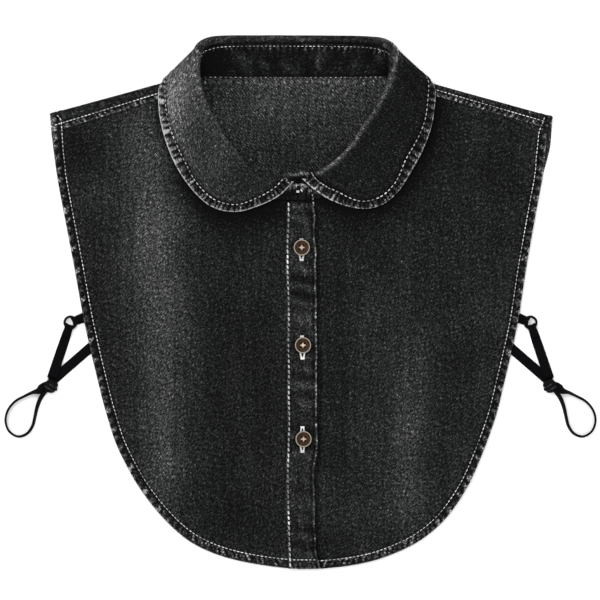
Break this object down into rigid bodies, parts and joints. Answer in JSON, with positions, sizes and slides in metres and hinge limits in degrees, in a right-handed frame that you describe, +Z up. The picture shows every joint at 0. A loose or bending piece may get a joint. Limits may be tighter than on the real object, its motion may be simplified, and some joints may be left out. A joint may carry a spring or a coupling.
{
  "type": "detachable shirt collar",
  "caption": "Detachable denim shirt collar with rounded leaves on a buttoned bib, worn under a jumper, with elastic loops at its sides, laid flat.",
  "frame": {"origin": "middle of the bib's outline, on the surface that it rests on", "axes": "+Z up from the resting surface, +Y towards the back of the neck, +X towards the side on which the placket's free edge lies"},
  "size_m": [0.4258, 0.3848, 0.017],
  "materials": {
    "denim": "washed charcoal twill, matt",
    "denim_collar": "washed charcoal twill, matt, a little paler",
    "horn_button": "brown horn look, polished",
    "elastic": "black woven elastic, slightly shiny",
    "ring": "black coated ring"
  },
  "bodies": {
    "root": {"back_panel": "denim", "front_left": "denim", "front_right": "denim", "placket": "denim", "collar_stand": "denim", "collar_fall": "denim_collar", "button_1": "horn_button", "button_2": "horn_button", "button_3": "horn_button", "tab_left": "elastic", "tab_right": "elastic", "ring_left": "ring", "ring_right": "ring", "strap_upper_left": "elastic", "strap_upper_right": "elastic", "strap_lower_left": "elastic", "strap_lower_right": "elastic", "strap_loop_left": "elastic", "strap_loop_right": "elastic", "knot_left": "elastic", "knot_right": "elastic"}
  },
  "joints": []
}
